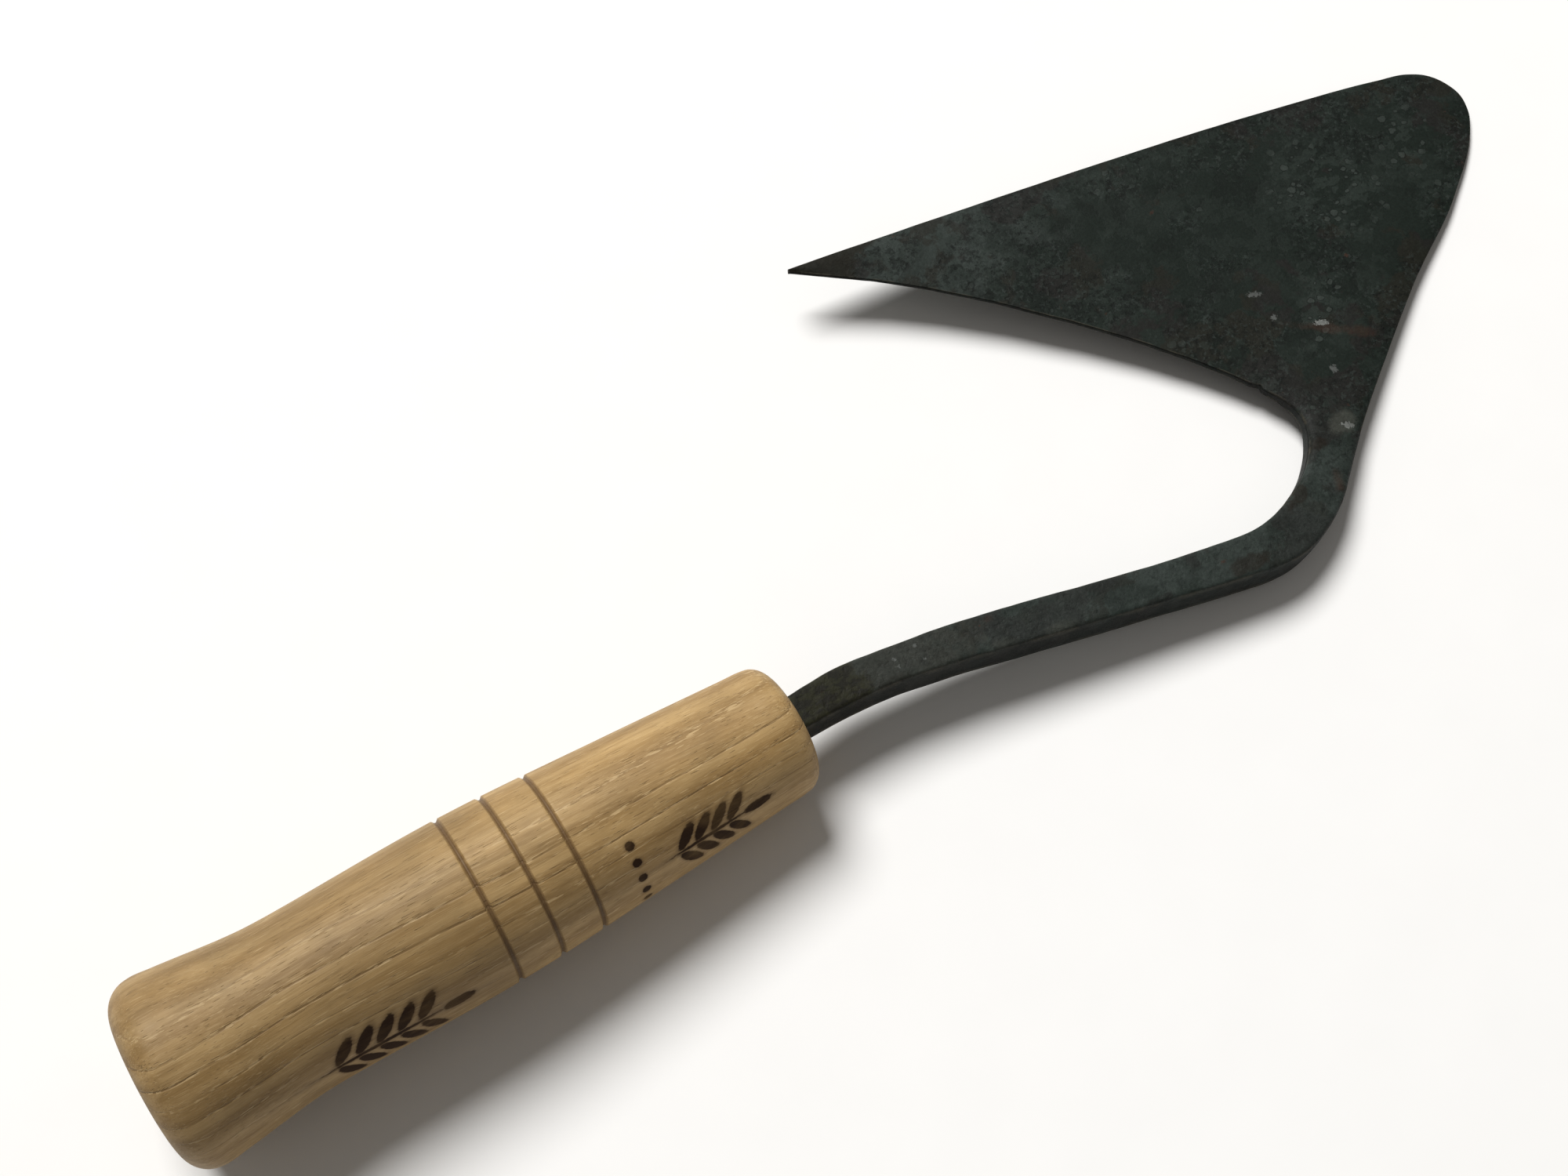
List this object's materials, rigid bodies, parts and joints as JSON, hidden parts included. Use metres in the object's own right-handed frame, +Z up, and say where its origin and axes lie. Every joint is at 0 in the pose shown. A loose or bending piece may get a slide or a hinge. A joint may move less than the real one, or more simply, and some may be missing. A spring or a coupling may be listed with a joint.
{
  "type": "hand hoe",
  "caption": "Short-handled hand hoe with a forged leaf-shaped blade, square hooked neck and turned ash handle; the tang runs through the handle.",
  "frame": {"origin": "on the ground under the middle of the tool's bounding box, with the tool lying on its side as it rests when put down", "axes": "+Z up from the ground; +X along the handle from its butt towards the blade as seen from above (the handle's axis dips 3.45 degrees below +X); +Y to the side where the blade's tip points back"},
  "size_m": [0.3454, 0.11, 0.0383],
  "materials": {
    "forge_scale_steel": "hand-forged steel with dark forge scale, matt to satin",
    "ash_wood": "turned and sanded ash, satin"
  },
  "bodies": {
    "root": {"forged_head": "forge_scale_steel", "handle": "ash_wood"}
  },
  "joints": []
}
